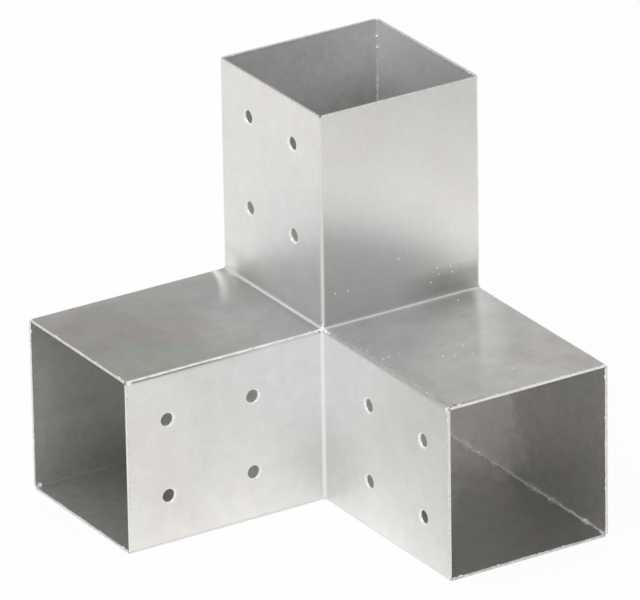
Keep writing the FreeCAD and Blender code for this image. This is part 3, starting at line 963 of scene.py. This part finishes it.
# Meshes
def finished(name, mesh):
    """A piece from a bmesh, shaded smooth but for its sharp edges."""
    data = bpy.data.meshes.new(name)
    mesh.to_mesh(data)
    mesh.free()
    for face in data.polygons:
        face.use_smooth = True
    data.set_sharp_from_angle(angle=SHARP)
    piece = bpy.data.objects.new(name, data)
    bpy.context.scene.collection.objects.link(piece)
    return piece


def modify(piece, name, kind, **settings):
    """Adds a modifier with its settings."""
    modifier = piece.modifiers.new(name, kind)
    for key, value in settings.items():
        setattr(modifier, key, value)


def sweep(mesh, stations, reach):
    """One closed bead added to a mesh."""
    rings = []
    travelled = [0.0]
    for (here, _, _), (there, _, _) in zip(stations, stations[1:]):
        travelled.append(travelled[-1] + (there - here).length)
    for so_far, (root, across, up) in zip(travelled, stations):
        ring = [mesh.verts.new(root)]
        for i in range(SECTION_STEPS + 1):
            angle = math.pi / 2 * i / SECTION_STEPS
            away = math.cos(angle) * across + math.sin(angle) * up
            ring.append(mesh.verts.new(root + reach(so_far, angle, travelled[-1]) * away))
        rings.append(ring)
    count = len(rings[0])
    for here, there in zip(rings, rings[1:]):
        for i in range(count):
            j = (i + 1) % count
            mesh.faces.new((here[i], here[j], there[j], there[i]))
    mesh.faces.new(rings[0])
    mesh.faces.new(rings[-1])


def bead(name, paths, reach):
    """A closed bead along each path: a quarter section carried along its stations, its reach varied all over."""
    mesh = bmesh.new()
    for stations in paths:
        sweep(mesh, stations, reach)
    bmesh.ops.recalc_face_normals(mesh, faces=mesh.faces)
    return finished(name, mesh)


def lumps(name, spots, fuse):
    """Weld metal that splashed or piled up: uneven drops, each a centre and its radii, fused where they meet."""
    ball = bmesh.new()
    bmesh.ops.create_icosphere(ball, subdivisions=2, radius=1.0)
    ball.verts.index_update()
    mesh = bmesh.new()
    for centre, radii in spots:
        drop = []
        for vertex in ball.verts:
            uneven = 1 + DROP_UNEVEN * noise.noise(DROP_GRAIN * vertex.co + centre / MM)
            drop.append(mesh.verts.new(centre + uneven * Vector(radii) * vertex.co))
        for face in ball.faces:
            mesh.faces.new([drop[vertex.index] for vertex in face.verts])
    ball.free()
    piece = finished(name, mesh)
    modify(piece, "fused", "REMESH", mode="VOXEL", voxel_size=fuse, use_smooth_shade=True)
    return piece


def lip_profile():
    """The section of a hole's lip: distance from the hole's axis and depth under the outer face."""
    bore = HOLE_RADIUS - LIP_INSET
    profile = []
    for i in range(LIP_ARC_STEPS + 1):
        angle = math.pi / 2 * i / LIP_ARC_STEPS
        profile.append((bore + LIP_ROUNDING * (1 - math.sin(angle)), LIP_ROUNDING * (1 - math.cos(angle))))
    profile.append((bore, LIP_FOOT * SHEET))
    profile.append((bore + LIP_CHAMFER * LIP_INSET, SHEET))
    profile.append((HOLE_RADIUS + LIP_OVERLAP, SHEET))
    return profile


def hole_lips(name, middle, run, across, out):
    """The lips of a wall's four bolt holes: rings flush with its outer face, with a rolled edge."""
    profile = lip_profile()
    mesh = bmesh.new()
    for row in (HOLE_SETBACK, HOLE_SETBACK + HOLE_PITCH_ALONG):
        for offset in (-HOLE_PITCH_ACROSS / 2, HOLE_PITCH_ACROSS / 2):
            centre = middle - row * run + offset * across
            rings = []
            for i in range(LIP_STEPS):
                turn = 2 * math.pi * i / LIP_STEPS
                radial = math.cos(turn) * run + math.sin(turn) * across
                uneven = LIP_UNEVEN * noise.noise(LIP_GRAIN * radial + centre / MM)
                rings.append([
                    mesh.verts.new(centre + (reach + uneven * depth / SHEET) * radial - depth * out)
                    for reach, depth in profile])
            for here, there in zip(rings, rings[1:] + rings[:1]):
                for j in range(len(profile)):
                    k = (j + 1) % len(profile)
                    mesh.faces.new((here[j], here[k], there[k], there[j]))
    bmesh.ops.recalc_face_normals(mesh, faces=mesh.faces)
    return finished(name, mesh)


# Drops of weld metal
def fillet_spots(node, corner, run, end, seed):
    """Drops of an uneven bead along an inside corner, with larger blobs at some places and a ragged fringe."""
    draw = random.Random(seed)
    deep, shallow, blobs = FILLETS[node]
    walls = X + Y + Z - run
    sides = [axis for axis in (X, Y, Z) if axis != run]
    foot = corner - corner.dot(run) * run
    start = corner.dot(run) + 2 * deep
    stop = end - 2 * deep

    def radius_at(place):
        return deep + (shallow - deep) * (place - start) / (stop - start)

    place = start
    while place < stop:
        radius = radius_at(place)
        size = radius * draw.uniform(*DROP_SIZES)
        aside = Vector([draw.uniform(-DROP_ASIDE, DROP_ASIDE) * radius for _ in range(3)])
        yield foot + place * run + DROP_LIFT * radius * walls + aside, (size,) * 3
        place += draw.uniform(*DROP_GAPS) * size
    for blob, size in blobs:
        radius = radius_at(blob)
        for _ in range(round(BLOB_DROPS * size)):
            aside = Vector([draw.uniform(-BLOB_ASIDE, BLOB_ASIDE) * radius for _ in range(3)])
            spot = foot + (blob + draw.uniform(-BLOB_RUN, BLOB_RUN) * size * MM) * run + radius * walls
            yield spot + aside, (radius * draw.uniform(*BLOB_SIZES),) * 3
        for _ in range(round(SPRAY_DROPS * size ** 2)):
            away = draw.choice(sides)
            spot = foot + (blob + draw.gauss(0.0, SPRAY_RUN) * size * MM) * run
            spot = spot + draw.uniform(*SPRAY_OFFSETS) * size * radius * away
            yield spot, (radius * draw.uniform(*SPRAY_SIZES),) * 3
    for _ in range(round((stop - start) * deep / FRINGE_SPACING ** 2)):
        place = draw.uniform(start, stop)
        radius = radius_at(place)
        spot = foot + place * run + draw.uniform(*FRINGE_OFFSETS) * radius * draw.choice(sides)
        yield spot, (radius * draw.uniform(*FRINGE_SIZES),) * 3


def junction_spots():
    """The ragged ridge where the folds and seams meet: a core, and drops along the three seams."""
    draw = random.Random(RIDGE_SEED)
    yield JUNCTION - CORE_SINK * (X + Y + Z), (CORE_RADIUS,) * 3
    for run, reach in RIDGE_REACH:
        travelled = RIDGE_START
        sunk = RIDGE_SINK * (X + Y + Z - run)
        while travelled < reach:
            radius = draw.uniform(*RIDGE_SIZES) * MM
            aside = Vector([draw.uniform(-RIDGE_ASIDE, RIDGE_ASIDE) * MM for _ in range(3)])
            yield JUNCTION + travelled * run - sunk + aside, (radius,) * 3
            travelled += draw.uniform(*RIDGE_GAPS) * radius


def dab_spots():
    """Dabs at the mouths, where the two lower seams end on the front walls and in the corners of the floor."""
    draw = random.Random(DAB_SEED)
    for run, out in ((X, Y), (Y, X)):
        for _ in range(DAB_DROPS):
            place = draw.uniform(*DAB_BACK) * run + draw.uniform(*DAB_BELOW) * Z
            radius = draw.uniform(*DAB_SIZES) * MM
            yield place + (HALF - DAB_SINK) * out, radius * (run + Z) + DAB_HEIGHT * out
        for _ in range(CORNER_DROPS):
            place = draw.uniform(*CORNER_BACK) * run + draw.uniform(*CORNER_OUT) * out
            yield place + draw.uniform(*CORNER_ABOVE) * Z, (draw.uniform(*CORNER_SIZES) * MM,) * 3


def spatter_spots():
    """Fine drops of spatter on the right sleeve's top and on the upright above it, and grit along a seam."""
    draw = random.Random(SPATTER_SEED)

    def drop(radius, out):
        sizes = Vector([radius * draw.uniform(*SPATTER_SIZES) for _ in range(3)])
        return sizes * (X + Y + Z - out) + SPATTER_HEIGHT * radius * out

    for x, y in SLEEVE_SPATTER:
        yield Vector((x * MM, y * MM, BLOCK)), drop(SPATTER_RADIUS, Z)
    for x, z in UPRIGHT_SPATTER:
        yield Vector((x * MM, HALF, z * MM)), drop(SPATTER_RADIUS, Y)
    for _ in range(GRIT_COUNT):
        place = Vector((HALF - SHEET, draw.uniform(FOLD_END, SEAM_END), BLOCK))
        yield place - draw.expovariate(1 / GRIT_REACH) * X, drop(GRIT_RADIUS, Z)


# Pieces
def weld_pieces():
    """Every bead, with the CAD node that it stands for."""
    seams = {
        "left_top_weld": corner_seam(X, FOLD_END, SEAM_END, Y, Z),
        "right_top_weld": corner_seam(Y, FOLD_END, SEAM_END, X, Z),
        "upright_front_weld": corner_seam(Z, BLOCK + FOLD_RADIUS, SEAM_TOP, X, Y),
        "base_front_weld": seam_round_fold(FOLD_FOOT, X, Y, -Z),
        "left_back_weld": seam_round_fold(Vector((HALF, -HALF, BLOCK)), X, Z, -Y),
        "right_back_weld": seam_round_fold(Vector((-HALF, HALF, BLOCK)), Y, Z, -X),
        "base_left_weld": corner_seam(X, -INSIDE, SEAM_END, -Y, -Z),
        "base_right_weld": corner_seam(Y, -INSIDE, SEAM_END, -X, -Z),
        "upright_rear_weld": corner_seam(Z, 0, SEAM_TOP, -X, -Y),
    }
    for seed, (node, stations) in enumerate(seams.items()):
        yield node, bead(node + "_bead", [stations], seam_reach(node, seed))
    corner = Vector((-INSIDE, -INSIDE, SHEET))
    fillets = (
        ("base_left_fillet", X, SEAM_END),
        ("base_right_fillet", Y, SEAM_END),
        ("upright_rear_fillet", Z, SEAM_TOP),
    )
    for seed, (node, run, end) in enumerate(fillets):
        yield node, lumps(node + "_bead", fillet_spots(node, corner, run, end, seed), FILLET_FUSE)


def splash_pieces():
    """The ridge, the dabs and the spatter."""
    yield lumps("junction_weld_ridge", junction_spots(), FUSE)
    yield lumps("mouth_dabs", dab_spots(), FUSE)
    yield lumps("spatter", spatter_spots(), FUSE)


def zinc_pieces():
    """The lips of the bolt holes and the burrs on the rims."""
    yield hole_lips("left_hole_lips", Vector((MOUTH, HALF, HALF)), X, Z, Y)
    yield hole_lips("right_hole_lips", Vector((HALF, MOUTH, HALF)), Y, Z, X)
    yield hole_lips("upright_hole_lips", Vector((HALF, 0, TOP)), Z, Y, X)
    yield bead("left_rim_burrs", rim_paths(X, MOUTH), burr_reach)
    yield bead("right_rim_burrs", rim_paths(Y, MOUTH), burr_reach)
    yield bead("upright_rim_burrs", rim_paths(Z, TOP), burr_reach)


def dress_sheets():
    """The folded angles and plates keep their CAD shape, with eased edges."""
    for name, finish in FINISH.items():
        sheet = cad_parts[name]
        sheet.material_slots[0].material = galvanised_sheet(name, *finish)
        modify(sheet, "joined", "WELD", merge_threshold=JOIN_GAP)
        modify(sheet, "flattened", "DECIMATE", decimate_type="DISSOLVE", angle_limit=FLAT)
        modify(sheet, "eased", "BEVEL", width=EASED_WIDTH, segments=EASED_STEPS, limit_method="ANGLE",
               angle_limit=SHARP, use_clamp_overlap=False, face_strength_mode="FSTR_ALL")
        modify(sheet, "shaded", "WEIGHTED_NORMAL", keep_sharp=True, use_face_influence=True)


def dress_pieces():
    """Every piece gets its material, its body and its slot, and the CAD node that it replaces."""
    metal = weld_metal("weld_metal")
    dressed = {node: dressed_weld(node, *skin) for node, skin in DRESSED.items()}
    dressed["left_top_weld"] = crest_weld()
    dressed["base_right_fillet"] = weld_metal("inner_weld_metal", faded=True)
    for node, piece in weld_pieces():
        piece.data.materials.append(dressed.get(node, metal))
        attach(piece, "root")
        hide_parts(node)
    for piece in splash_pieces():
        piece.data.materials.append(metal)
        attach(piece, "root")
        if piece.name == "junction_weld_ridge":
            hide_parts("junction_weld")
    zinc = rolled_zinc()
    for piece in zinc_pieces():
        piece.data.materials.append(zinc)
        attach(piece, "root")


# Stage
def white_floor():
    """A white floor, which glows to the camera and in reflections and keeps the object's soft shadow."""
    material, place = new_material("white_floor")
    tree = material.node_tree
    tree.nodes.remove(tree.nodes["Principled BSDF"])
    seen = field(tree, "ShaderNodeLightPath", "Is Camera Ray", {})
    mirrored = field(tree, "ShaderNodeLightPath", "Is Glossy Ray", {})
    lit = spread(along(place, FLOOR_FADE), *FLOOR_MIRRORED)
    shaded = spread(distance(place, SHADE_CENTRE), *FLOOR_SHADED)
    glow = highest(seen * FLOOR_GLOW, mirrored * lit * shaded)
    plug(tree.nodes["Material Output"], {"Surface": field(tree, "ShaderNodeMixShader", "Shader", {
        "Fac": glow,
        1: field(tree, "ShaderNodeBsdfDiffuse", "BSDF", {"Color": FLOOR_COLOUR}),
        2: field(tree, "ShaderNodeEmission", "Emission", {"Strength": 1.0}),
    })})
    material.cycles.emission_sampling = "NONE"
    mesh = bmesh.new()
    bmesh.ops.create_circle(mesh, cap_ends=True, segments=FLOOR_SEGMENTS, radius=FLOOR_RADIUS)
    floor = finished("floor", mesh)
    floor.location.z = -FLOOR_DROP
    floor.data.materials.append(material)


def studio_world():
    """A soft grey room, paler in front of the object than behind it, and white to the camera."""
    world = bpy.data.worlds.new("studio")
    world.use_nodes = True
    tree = world.node_tree
    direction = field(tree, "ShaderNodeTexCoord", "Generated", {})
    _, _, height = axes(direction)
    bands = ramp(height, [(level, (glow,) * 3) for level, glow in ROOM_BANDS])
    sky = blend(1.0, bands, spread(along(direction, ROOM_FRONT), *ROOM_SIDES), "MULTIPLY")
    seen = field(tree, "ShaderNodeLightPath", "Is Camera Ray", {})
    plug(tree.nodes["Background"], {"Color": blend(seen, sky, WHITE)})
    bpy.context.scene.world = world


def key_lamp():
    """A large square lamp above the object."""
    lamp = bpy.data.lights.new("key", "AREA")
    lamp.shape = "SQUARE"
    lamp.size = KEY_SIZE
    lamp.energy = KEY_POWER
    holder = bpy.data.objects.new("key", lamp)
    holder.location = CAMERA_TARGET + KEY_DISTANCE * KEY_DIRECTION.normalized()
    holder.rotation_euler = KEY_DIRECTION.to_track_quat("Z", "Y").to_euler()
    bpy.context.scene.collection.objects.link(holder)


def camera():
    """The photograph's viewpoint."""
    level_right = Vector((math.cos(CAMERA_AZIMUTH), math.sin(CAMERA_AZIMUTH), 0))
    back = Vector((math.sin(CAMERA_AZIMUTH) * math.cos(CAMERA_ELEVATION),
                   -math.cos(CAMERA_AZIMUTH) * math.cos(CAMERA_ELEVATION),
                   math.sin(CAMERA_ELEVATION)))
    level_up = back.cross(level_right)
    right = math.cos(CAMERA_ROLL) * level_right + math.sin(CAMERA_ROLL) * level_up
    up = back.cross(right)
    lens = bpy.data.cameras.new("camera")
    lens.lens = CAMERA_LENS
    lens.sensor_width = CAMERA_SENSOR
    lens.clip_end = CAMERA_REACH
    viewpoint = bpy.data.objects.new("camera", lens)
    turn = Matrix((right, up, back)).transposed().to_4x4()
    viewpoint.matrix_world = Matrix.Translation(CAMERA_TARGET + CAMERA_DISTANCE * back) @ turn
    bpy.context.scene.collection.objects.link(viewpoint)
    bpy.context.scene.camera = viewpoint


def main():
    """The dressed connector on its stage."""
    dress_sheets()
    dress_pieces()
    white_floor()
    studio_world()
    key_lamp()
    camera()
    bpy.context.scene.cycles.glossy_bounces = GLOSSY_BOUNCES
    bpy.context.scene.cycles.max_bounces = MAX_BOUNCES
    bpy.context.scene.view_settings.view_transform = "Standard"


main()
